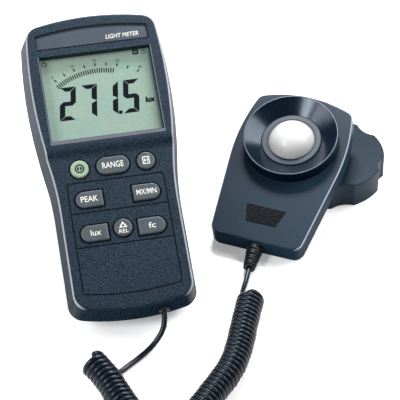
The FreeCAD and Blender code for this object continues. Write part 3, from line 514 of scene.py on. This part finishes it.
def metal_look():
    """Zinc-plated steel of the screws and small metal parts."""
    look = Look("zinc_plate")
    tone = look.ramp(look.noise(900.0, 4.0), [(0.3, (0.42, 0.42, 0.44)), (0.7, (0.62, 0.62, 0.62))])
    look.set(Base_Color=tone, Metallic=1.0, Roughness=look.spread(look.noise(400.0), 0.25, 0.42),
             Normal=look.bump(look.noise(1500.0), 0.4, 0.00003))
    return look.material


def floor_look():
    """Seamless white paper sweep with a trace of fibre."""
    look = Look("white_paper")
    tone = look.ramp(look.noise(60.0, 5.0), [(0.3, (0.93, 0.93, 0.93)), (0.7, (0.96, 0.96, 0.96))])
    look.set(Base_Color=tone, Roughness=look.spread(look.noise(30.0), 0.82, 0.9),
             Normal=look.bump(look.noise(900.0), 0.1, 0.00002), Specular_IOR_Level=0.1,
             Emission_Color=(1.0, 1.0, 1.0, 1.0), Emission_Strength=0.3)
    return look.material


LOOKS = {
    "case": case_look(),
    "sensor_case": sensor_look(),
    "header": smooth("header_plate", (0.024, 0.036, 0.054), 0.42, contrast=0.07, sheen=0.4),
    "window": window_look(),
    "lcd": lcd_look(),
    "black_plastic": smooth("black_abs", (0.012, 0.013, 0.016), 0.3),
    "rubber": smooth("soft_rubber", (0.006, 0.009, 0.014), 0.45, contrast=0.15, depth=0.00003,
                     sheen=0.22),
    "silicone": smooth("mat_silicone", (0.2, 0.21, 0.23), 0.55),
    "board": smooth("solder_mask", (0.03, 0.16, 0.07), 0.35),
    "steel": metal_look(),
    "battery": smooth("battery_jacket", (0.06, 0.06, 0.065), 0.35),
    "cord": cord_look(),
    "key": smooth("key_silicone", (0.046, 0.060, 0.072), 0.40, contrast=0.1, sheen=0.4),
    "power_key": smooth("power_key_silicone", (0.19, 0.27, 0.195), 0.45),
    "retainer": smooth("retainer_abs", (0.020, 0.036, 0.054), 0.42, sheen=0.3),
    "diffuser": dome_look(),
    "filter": smooth("green_filter", (0.3, 0.55, 0.3), 0.15),
}
SPECIAL = {"reflector_ring": ring_look(), "grip_pad": pad_look(), "dust_cap": cap_look()}
for part in frame["record"]["subparts"]:
    node = NODES[part["node"]]
    look = SPECIAL.get(part["node"], LOOKS[part["material_slot"]])
    if not node.material_slots:
        node.data.materials.append(look)
    for holder in node.material_slots:
        holder.material = look
cord_data.materials.append(LOOKS["cord"])

# ---------------------------------------------------------------- thin printed shapes, and thin shapes of painted shade and highlight
INK_WHITE = flat_print_and_painted_light("ink_white", (0.66, 0.64, 0.59))
# Black of print, and of painted shade in grooves and round the header plate.
INK_AND_SHADE_BLACK = flat_print_and_painted_light("ink_and_painted_shade_black", (0.002, 0.003, 0.006), sheen=0.08)
INK_FAINT = flat_print_and_painted_light("ink_faint", (0.03, 0.05, 0.055), sheen=0.08)
# Dark colour of the painted shade on the display recess walls.
PAINTED_RECESS_SHADE = flat_print_and_painted_light("painted_recess_shade", (0.003, 0.012, 0.014), sheen=0.15)
# Paler colour of the painted highlight on the display recess's lip.
PAINTED_LIP_HIGHLIGHT = flat_print_and_painted_light("painted_lip_highlight", (0.085, 0.090, 0.115), sheen=0.3)
# Pale colour of the painted highlight on the reflector ring's rim.
PAINTED_RIM_HIGHLIGHT = flat_print_and_painted_light("painted_rim_highlight", (0.16, 0.20, 0.26), sheen=0.4)
THIN_LAYER = 0.06
SINK = 0.01
LETTER_HALF = 0.02
FACE_LEVEL = FACE_HEIGHT - SINK
HOOD_LEVEL = HOOD_HEIGHT - SINK
KEY_LEVEL = FACE_HEIGHT + KEY_RISE - SINK
HEADER_LEVEL = HOOD_HEIGHT - HEADER_DEPTH + HEADER_THICKNESS - SINK
LCD_LEVEL = WINDOW_TOP - WINDOW_THICKNESS - WINDOW_TO_CELL - SINK
RETAINER_LEVEL = SENSOR_DEPTH + RETAINER_RISE - SINK
RIM_LEVEL = SENSOR_DEPTH + RING_RISE - SINK


def slab(name, outlines, low, look, body, high=None, place=on_meter):
    """Thin shape with flat outlines in an instrument's frame, each a list of (across, along)."""
    made = bmesh.new()
    top_level = (low + THIN_LAYER) if high is None else high
    for outline in outlines:
        lower = [made.verts.new(place(x, u, low)) for x, u in outline]
        upper = [made.verts.new(place(x, u, top_level)) for x, u in outline]
        made.faces.new(upper)
        made.faces.new(list(reversed(lower)))
        for step in range(len(outline)):
            after = (step + 1) % len(outline)
            made.faces.new((lower[step], lower[after], upper[after], upper[step]))
    bmesh.ops.recalc_face_normals(made, faces=made.faces)
    return finished(name, made, look, body)


def finished(name, made, look, body):
    """Object of a finished bmesh, riding on a body."""
    mesh = bpy.data.meshes.new(name)
    made.to_mesh(mesh)
    made.free()
    mesh.materials.append(look)
    obj = add(bpy.data.objects.new(name, mesh))
    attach(obj, body)
    return obj


def circle(x, u, radius, points=40, start=0.0, end=math.tau):
    """Points of a circle or an arc, without its last one."""
    return [(x + radius * math.cos(start + (end - start) * step / points),
             u + radius * math.sin(start + (end - start) * step / points)) for step in range(points)]


def ring_parts(x, u, outer, inner, points=40, start=0.0, end=math.tau):
    """Short quads that make a ring or part of one."""
    found = []
    for step in range(points):
        this = start + (end - start) * step / points
        after = start + (end - start) * (step + 1) / points
        found.append([(x + inner * math.cos(this), u + inner * math.sin(this)),
                      (x + outer * math.cos(this), u + outer * math.sin(this)),
                      (x + outer * math.cos(after), u + outer * math.sin(after)),
                      (x + inner * math.cos(after), u + inner * math.sin(after))])
    return found


def lettering(name, words, x, u, low, height, look, body, width=None, slant=0.0,
              weight=0.002):
    """Raised print of a plain legend, centred on a point of the meter's face."""
    data = bpy.data.curves.new(name, "FONT")
    data.body = words
    data.align_x = "CENTER"
    data.align_y = "CENTER"
    data.size = 1.0
    data.offset = weight
    data.extrude = LETTER_HALF
    data.resolution_u = 4
    holder = add(bpy.data.objects.new(name, data))
    bpy.context.view_layer.update()
    mesh = bpy.data.meshes.new_from_object(holder)
    bpy.data.objects.remove(holder)
    bpy.data.curves.remove(data)
    xs = [vertex.co.x for vertex in mesh.vertices]
    ys = [vertex.co.y for vertex in mesh.vertices]
    tall = max(ys) - min(ys)
    wide = max(xs) - min(xs)
    scale_y = height / tall
    scale_x = (width / wide) if width else scale_y
    middle_x = (max(xs) + min(xs)) / 2
    middle_y = (max(ys) + min(ys)) / 2
    for vertex in mesh.vertices:
        along = (vertex.co.y - middle_y) * scale_y
        across = (vertex.co.x - middle_x) * scale_x + along * slant
        out = low + THIN_LAYER * (vertex.co.z / (2 * LETTER_HALF) + 0.5)
        vertex.co = on_meter(x + across, u + along, out)
    mesh.materials.clear()
    mesh.materials.append(look)
    obj = add(bpy.data.objects.new(name, mesh))
    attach(obj, body)
    return obj


# ---------------------------------------------------------------- legends on the keys
LEGENDS = [("range", "RANGE", 0.0, TOP_ROW, 3.4, 11.6), ("peak", "PEAK", -KEY_PITCH, MIDDLE_ROW, 3.3, 9.2),
           ("max_min", "MX/MN", KEY_PITCH, MIDDLE_ROW, 3.2, 10.8), ("lux", "lux", -14.9, LOWER_ROW, 3.3, 5.5),
           ("fc", "fc", KEY_PITCH, LOWER_ROW, 3.2, 3.9), ("rel", "REL", 0.0, 44.3, 2.1, 5.0)]
for key, words, x, u, height, width in LEGENDS:
    lettering("legend_" + key, words, x, u, KEY_LEVEL, height, INK_WHITE, "key_" + key, width)


def triangle_parts(x, u, half, tall, thick):
    """Outline of a triangle as three bars."""
    corners = [(x - half, u), (x + half, u), (x, u + tall)]
    inner = [(x - half + thick * 1.7, u + thick * 0.8), (x + half - thick * 1.7, u + thick * 0.8),
             (x, u + tall - thick * 2.1)]
    return [[corners[step], corners[(step + 1) % 3], inner[(step + 1) % 3], inner[step]] for step in range(3)]


slab("legend_rel_mark", triangle_parts(0.0, 46.3, 2.3, 3.4, 0.6), KEY_LEVEL, INK_WHITE, "key_rel")
QUARTER = math.pi / 2
POWER_RING = (2.6, 1.85)
POWER_DOT = 1.15
POWER_SPLIT = 0.22
power_mark = ring_parts(-TOP_ROW_PITCH, TOP_ROW, *POWER_RING)
power_mark += [circle(-TOP_ROW_PITCH - POWER_SPLIT, TOP_ROW, POWER_DOT, 16, QUARTER, 3 * QUARTER),
               circle(-TOP_ROW_PITCH + POWER_SPLIT, TOP_ROW, POWER_DOT, 16, -QUARTER, QUARTER)]
slab("legend_power", power_mark, KEY_LEVEL, INK_AND_SHADE_BLACK, "key_power")


def key_outline(kind, x, u, margin):
    """Points round a key, grown by a margin. The kind says which of its ends are round."""
    if kind == "round":
        return circle(x, u, ROUND_KEY_RADIUS + margin, 48)
    half_length, half_width = RANGE_KEY_HALF if kind == "both" else WIDE_KEY_HALF
    straight = half_length - half_width
    tip, half = half_length + margin, half_width + margin
    if kind in ("both", "right"):
        points = circle(x + straight, u, half, 20, -QUARTER, QUARTER) + [(x + straight, u + half)]
    else:
        points = [(x + tip, u - half), (x + tip, u + half)]
    if kind in ("both", "left"):
        points += circle(x - straight, u, half, 20, QUARTER, 3 * QUARTER) + [(x - straight, u - half)]
    else:
        points += [(x - tip, u + half), (x - tip, u - half)]
    return points


def band(inner, outer):
    """Quads between two outlines with the same number of points."""
    return [[inner[step], outer[step], outer[(step + 1) % len(outer)], inner[(step + 1) % len(inner)]]
            for step in range(len(inner))]


def strip(points, half, closed):
    """Quads of even width along a line of points."""
    line = [Vector(point) for point in points]
    count = len(line)
    sides = []
    for step in range(count):
        before = line[(step - 1) % count] if closed or step else line[step]
        after = line[(step + 1) % count] if closed or step < count - 1 else line[step]
        along = (after - before).normalized()
        sides.append(Vector((-along.y, along.x)) * half)
    last = count if closed else count - 1
    return [[tuple(line[step] - sides[step]), tuple(line[step] + sides[step]),
             tuple(line[(step + 1) % count] + sides[(step + 1) % count]),
             tuple(line[(step + 1) % count] - sides[(step + 1) % count])] for step in range(last)]


# ---------------------------------------------------------------- dark lines round keys, and painted shade in the panel grooves
KEY_PLACES = [("round", -TOP_ROW_PITCH, TOP_ROW), ("both", 0.0, TOP_ROW), ("round", TOP_ROW_PITCH, TOP_ROW),
              ("left", -KEY_PITCH, MIDDLE_ROW), ("right", KEY_PITCH, MIDDLE_ROW),
              ("left", -KEY_PITCH, LOWER_ROW), ("round", 0.0, REL_ROW), ("right", KEY_PITCH, LOWER_ROW)]
SURROUND_INNER = 0.56
SURROUND_OUTER = 0.95
surrounds = []
for kind, x, u in KEY_PLACES:
    surrounds += band(key_outline(kind, x, u, SURROUND_INNER), key_outline(kind, x, u, SURROUND_OUTER))
slab("key_surrounds", surrounds, FACE_LEVEL, INK_AND_SHADE_BLACK, "meter")

PANEL_CORNER = 1.6
PANEL_LINE_HALF = 0.38
PANEL_LINE_TOP = 33.85
BOW_INSET = 1.2
BOW_STEPS = 32
corner_side = PANEL_HALF - PANEL_CORNER
corner_top = PANEL_TOP - PANEL_CORNER
corner_foot = PANEL_FOOT + 1.7
bow_radius = (PANEL_HALF ** 2 + PANEL_BOW ** 2) / (2 * PANEL_BOW)
panel_line = []
for step in range(BOW_STEPS + 1):
    x = -PANEL_HALF + BOW_INSET + 2 * (PANEL_HALF - BOW_INSET) * step / BOW_STEPS
    panel_line.append((x, PANEL_FOOT - PANEL_BOW + bow_radius - math.sqrt(bow_radius ** 2 - x * x)))
panel_line += circle(corner_side, corner_foot, PANEL_CORNER, 5, -0.9, 0.0)
panel_line += circle(corner_side, corner_top, PANEL_CORNER, 8, 0.0, QUARTER + 0.2)
panel_line += circle(-corner_side, corner_top, PANEL_CORNER, 8, QUARTER, math.pi + 0.2)
panel_line += circle(-corner_side, corner_foot, PANEL_CORNER, 5, math.pi, math.pi + 0.9)
# Painted shade: dark strips laid in the moulded grooves round and across the key panel, where the grooves lie
# in shade.
lines = strip(panel_line, PANEL_LINE_HALF, True)
for along in PANEL_DIVIDERS:
    ends = [(-PANEL_HALF + GROOVE_HALF, along), (PANEL_HALF - GROOVE_HALF, along)]
    lines += strip(ends, PANEL_LINE_HALF, False)
slab("panel_painted_groove_shade", lines, GROOVE_FLOOR, INK_AND_SHADE_BLACK, "meter", high=PANEL_LINE_TOP)


def box(left, right, low, high):
    """Corners of an upright rectangle."""
    return [(left, low), (right, low), (right, high), (left, high)]


def frame_bars(x, u, half_x, half_y, thick):
    """A rectangle's outline as four bars."""
    left, right, low, high = x - half_x, x + half_x, u - half_y, u + half_y
    return [box(left, right, low, low + thick), box(left, right, high - thick, high),
            box(left, left + thick, low + thick, high - thick),
            box(right - thick, right, low + thick, high - thick)]


hold_frame = frame_bars(TOP_ROW_PITCH, TOP_ROW, 1.9, 2.2, 0.45)
slab("legend_hold", hold_frame, KEY_LEVEL, INK_WHITE, "key_hold")
lettering("legend_hold_letter", "H", TOP_ROW_PITCH, TOP_ROW, KEY_LEVEL, 2.4, INK_WHITE, "key_hold",
          1.9)
lettering("legend_type", "LIGHT METER", 17.0, 159.6, HEADER_LEVEL, 2.6, INK_WHITE, "meter",
          18.5, slant=0.12, weight=0.0)

# ---------------------------------------------------------------- what the display shows
DIGIT_BOTTOM = 113.9
DIGIT_HEIGHT = 20.0
DIGIT_WIDTH = 8.9
DIGIT_PITCH = 11.73
FIRST_DIGIT = -24.4
SLANT = 0.135
BAR = 2.95
BAR_GAP = 0.2
BAR_MITRE = 0.86
BAR_SHOULDER = 0.62
TIP_INSET = 0.3
BLUNT_END = 0.5
POINT_SIZE = 2.0
POINT_SLANT = 0.25
SEGMENTS = {"1": "bc", "2": "abged", "5": "afgcd", "7": "abc"}


def digit_bars(left, shown):
    """Seven-segment bars of one digit, with mitred ends and thin gaps."""
    width, height, bar, gap = DIGIT_WIDTH, DIGIT_HEIGHT, BAR, BAR_GAP
    half = height / 2
    rise = bar * BAR_MITRE
    shoulder = bar * BAR_SHOULDER
    shapes = {
        "a": [(gap, height), (width - gap, height), (width - bar - gap, height - rise),
              (bar + gap, height - rise)],
        "d": [(gap, 0), (width - gap, 0), (width - bar - gap, rise), (bar + gap, rise)],
        "g": [(gap + TIP_INSET, half), (shoulder, half + rise / 2), (width - shoulder, half + rise / 2),
              (width - gap - TIP_INSET, half), (width - shoulder, half - rise / 2),
              (shoulder, half - rise / 2)],
        "b": [(width, height - gap), (width, half + gap), (width - BLUNT_END, half + gap),
              (width - bar, half + rise / 2 + gap), (width - bar, height - rise - gap)],
        "c": [(width, half - gap), (width, gap), (width - bar, rise + gap),
              (width - bar, half - rise / 2 - gap), (width - BLUNT_END, half - gap)],
        "f": [(0, height - gap), (bar, height - rise - gap), (bar, half + rise / 2 + gap),
              (BLUNT_END, half + gap), (0, half + gap)],
        "e": [(0, half - gap), (BLUNT_END, half - gap), (bar, half - rise / 2 - gap), (bar, rise + gap),
              (0, gap)],
    }
    return [[(left + x + u * SLANT, DIGIT_BOTTOM + u) for x, u in shapes[letter]] for letter in shown]


reading = []
for place, digit in enumerate("2715"):
    reading += digit_bars(FIRST_DIGIT + DIGIT_PITCH * place, SEGMENTS[digit])
point_left = FIRST_DIGIT + DIGIT_PITCH * 3 - 2.55
point_right = point_left + POINT_SIZE
point_top = DIGIT_BOTTOM + POINT_SIZE
reading.append([(point_left, DIGIT_BOTTOM), (point_right, DIGIT_BOTTOM),
                (point_right + POINT_SLANT, point_top), (point_left + POINT_SLANT, point_top)])
slab("lcd_reading", reading, LCD_LEVEL, INK_AND_SHADE_BLACK, "meter")

# Painted shade: a thin dark frame on the walls of the display recess, standing in for their shade.
PAINTED_SHADE_THICKNESS = 0.2
PAINTED_SHADE_TOP = 36.3
recess_painted_shade = frame_bars(0.0, (DISPLAY_BOTTOM + DISPLAY_TOP) / 2, DISPLAY_HALF - SINK,
                   (DISPLAY_TOP - DISPLAY_BOTTOM) / 2 - SINK, PAINTED_SHADE_THICKNESS)
slab("display_recess_painted_shade", recess_painted_shade, WINDOW_TOP - SINK, PAINTED_RECESS_SHADE, "meter", high=PAINTED_SHADE_TOP)

ARC_MIDDLE = (-0.2, 103.6)
ARC_DOTS = 42.0
ARC_COMB = 38.2
ARC_START = -33.6
ARC_STEP = 16.7
ARC_NUMBERS = ARC_DOTS + 2.6
COMB_START = -35.6
COMB_STEP = 1.915
COMB_TICKS = 27


def tick(angle, inner, outer, half):
    """One radial mark of the arc scale."""
    out = Vector((math.sin(angle), math.cos(angle)))
    side = Vector((out.y, -out.x)) * half
    middle = Vector(ARC_MIDDLE)
    return [tuple(middle + out * inner - side), tuple(middle + out * inner + side),
            tuple(middle + out * outer + side), tuple(middle + out * outer - side)]


comb = [tick(math.radians(COMB_START + COMB_STEP * step), ARC_COMB - 1.4, ARC_COMB + 1.4, 0.32)
        for step in range(COMB_TICKS)]
slab("lcd_comb", comb, LCD_LEVEL, INK_AND_SHADE_BLACK, "meter")
marks = [tick(math.radians(ARC_START + ARC_STEP / 2 * step), ARC_DOTS - 0.9, ARC_DOTS + 0.9, 0.36)
         for step in range(9)]
slab("lcd_marks", marks, LCD_LEVEL, INK_AND_SHADE_BLACK, "meter")
for step, words in enumerate(("0", "10", "20", "30", "40")):
    angle = math.radians(ARC_START + ARC_STEP * step)
    lettering("lcd_number_" + words, words, ARC_MIDDLE[0] + ARC_NUMBERS * math.sin(angle),
              ARC_MIDDLE[1] + ARC_NUMBERS * math.cos(angle), LCD_LEVEL, 1.7, INK_FAINT, "meter")
lettering("lcd_unit", "lux", 26.8, 120.6, LCD_LEVEL, 3.6, INK_AND_SHADE_BLACK, "meter", 5.4, slant=0.1,
          weight=0.055)
icons = ring_parts(-28.2, 149.2, 1.5, 1.05, 24) + ring_parts(27.6, 150.0, 1.35, 1.0, 24)
icons += frame_bars(23.0, 150.3, 1.65, 1.45, 0.8)
icons += [[(27.4, 149.9), (27.75, 149.9), (28.0, 150.9), (27.7, 150.9)],
          [(-28.2, 149.1), (-28.0, 149.1), (-27.5, 149.8), (-27.8, 149.8)],
          box(22.6, 23.4, 149.9, 150.6)]
slab("lcd_icons", icons, LCD_LEVEL, INK_AND_SHADE_BLACK, "meter")

# ---------------------------------------------------------------- lines on the hood and the sensor, with painted shade and highlights
# Painted shade: a dark line round the recessed header plate, where the edge of its recess is in shade.
header_painted_shade_line = [(-HEADER_HALF, HEADER_BOTTOM), (HEADER_HALF, HEADER_BOTTOM), (HEADER_HALF, HEADER_SHOULDER)]
header_painted_shade_line += [(x, HEADER_SHOULDER + HEADER_BOW * (1.0 - (x / HEADER_HALF) ** 2))
                for x in (24.0, 16.0, 8.0, 0.0, -8.0, -16.0, -24.0)]
header_painted_shade_line.append((-HEADER_HALF, HEADER_SHOULDER))
slab("header_painted_shade_lines", strip(header_painted_shade_line, 0.35, True), HOOD_LEVEL, INK_AND_SHADE_BLACK, "meter")

# Painted highlight: a paler band along the bottom and sides of the display recess, where its lip catches the
# light.
LIP_OUTER = 31.5
LIP_INNER = 31.0
LIP_FOOT = 98.0
LIP_TOP = 99.9
lip = [[(-LIP_OUTER, LIP_FOOT), (LIP_OUTER, LIP_FOOT), (LIP_INNER, LIP_TOP), (-LIP_INNER, LIP_TOP)]]
for side in (-1, 1):
    lip.append([(side * LIP_OUTER, LIP_FOOT), (side * LIP_OUTER, DISPLAY_TOP),
                (side * LIP_INNER, DISPLAY_TOP), (side * LIP_INNER, LIP_TOP)][::side])
slab("painted_lip_highlights", lip, HOOD_LEVEL, PAINTED_LIP_HIGHLIGHT, "meter")

# Painted shade: two dark rings on the retainer, where its fine grooves lie in shade.
RETAINER_GROOVE_SHADE = [(14.2, 13.9), (17.2, 16.85)]
RIM_HIGHLIGHT_RADII = (27.0, 26.75)
retainer_shade_rings = []
for outer, inner in RETAINER_GROOVE_SHADE:
    retainer_shade_rings += ring_parts(0.0, DOME_ALONG, outer, inner, 72)
slab("retainer_painted_groove_shade", retainer_shade_rings, RETAINER_LEVEL, INK_AND_SHADE_BLACK, "meter", place=on_sensor)
# Painted highlight: a pale thin ring on the reflector ring's flat rim.
slab("ring_rim_painted_highlight", ring_parts(0.0, DOME_ALONG, *RIM_HIGHLIGHT_RADII, 96), RIM_LEVEL, PAINTED_RIM_HIGHLIGHT, "meter",
     place=on_sensor)

# ---------------------------------------------------------------- ribbed strain relief
RELIEF_WALL = on_sensor(0.5, 0.0, 6.15)
RELIEF_END = row(SENSOR_LEAD[0])
RELIEF_RADIUS = (0.005, 0.0034)
RELIEF_AROUND = 72
RELIEF_STEPS = 96
RIB_START = 1.4
RIB_PITCH = 1.7
RIB_WIDTH = 0.85
RIB_COUNT = 8
RIB_DEPTH = 0.0011
BRIDGE_HALF_WIDTH = 0.30


def relief_depth(distance, angle):
    """How far the surface is cut back: slots between the ribs, bridged in turns."""
    band_number = int((distance / MM - RIB_START) // RIB_PITCH)
    inside = (distance / MM - RIB_START) % RIB_PITCH
    bridge = abs(math.cos(angle + (band_number % 2) * QUARTER)) < BRIDGE_HALF_WIDTH
    slot = 0 <= band_number < RIB_COUNT and inside > RIB_WIDTH
    return RIB_DEPTH if slot and not bridge else 0.0


def strain_relief():
    """Tapered sleeve of staggered rings joined by bridges, from the sensor's foot to the cord."""
    axis = RELIEF_END - RELIEF_WALL
    length = axis.length
    axis.normalize()
    side = axis.cross(Vector((0, 0, 1))).normalized()
    up = side.cross(axis)
    made = bmesh.new()
    rings = []
    for step in range(RELIEF_STEPS + 1):
        share = step / RELIEF_STEPS
        distance = share * length
        radius = RELIEF_RADIUS[0] + (RELIEF_RADIUS[1] - RELIEF_RADIUS[0]) * share
        ring = []
        for corner in range(RELIEF_AROUND):
            angle = math.tau * corner / RELIEF_AROUND
            out = side * math.cos(angle) + up * math.sin(angle)
            reach = radius - relief_depth(distance, angle)
            ring.append(made.verts.new(RELIEF_WALL + axis * distance + out * reach))
        rings.append(ring)
    for first, second in zip(rings, rings[1:]):
        for corner in range(RELIEF_AROUND):
            after = (corner + 1) % RELIEF_AROUND
            made.faces.new((first[corner], first[after], second[after], second[corner]))
    made.faces.new(list(reversed(rings[0])))
    made.faces.new(rings[-1])
    bmesh.ops.recalc_face_normals(made, faces=made.faces)
    obj = finished("ribbed_relief", made, LOOKS["rubber"], "meter")
    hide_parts("strain_relief")


strain_relief()


# ---------------------------------------------------------------- floor, lights, world
FLOOR_HALF = 3


def floor():
    """Flat sheet of paper, far larger than the object."""
    mesh = bpy.data.meshes.new("floor")
    made = bmesh.new()
    bmesh.ops.create_grid(made, x_segments=4, y_segments=4, size=FLOOR_HALF)
    made.to_mesh(mesh)
    made.free()
    obj = add(bpy.data.objects.new("floor", mesh))
    obj.data.materials.append(floor_look())


floor()


LIGHT_AIM = (0.0, 0.0, 0.03)
LIGHTS = [("right_light", (1.15, 0.05, 1.2), (1.1, 0.8), 27, LIGHT_AIM),
          ("left_light", (-0.95, -0.60, 0.80), (0.35, 0.5), 13, LIGHT_AIM),
          ("left_strip_light", (-1.0, 0.10, 0.80), (0.7, 0.2), 5, LIGHT_AIM),
          ("near_top_light", (0.11, 0.30, 0.50), (0.2, 0.14), 5.0, (-0.03, 0.04, 0.08)),
          ("sky_light", (-0.6, 1.6, 1.2), (1.0, 0.5), 3, LIGHT_AIM)]


def area_light(name, place, size, power, aim):
    """Soft rectangular light: its place and size in metres, its power in watts."""
    data = bpy.data.lights.new(name, "AREA")
    data.shape = "RECTANGLE"
    data.size, data.size_y = size
    data.energy = power
    obj = bpy.data.objects.new(name, data)
    obj.location = place
    obj.rotation_mode = "QUATERNION"
    obj.rotation_quaternion = (Vector(aim) - Vector(place)).to_track_quat("-Z", "Y")
    add(obj)


for name, place, size, power, aim in LIGHTS:
    area_light(name, place, size, power, aim)

world = bpy.data.worlds.new("world")
bpy.context.scene.world = world
world.use_nodes = True
background = world.node_tree.nodes["Background"]
background.inputs["Color"].default_value = (0.93, 0.96, 1.0, 1)
background.inputs["Strength"].default_value = 0.07
bpy.context.scene.view_settings.view_transform = "Standard"

bpy.context.view_layer.update()
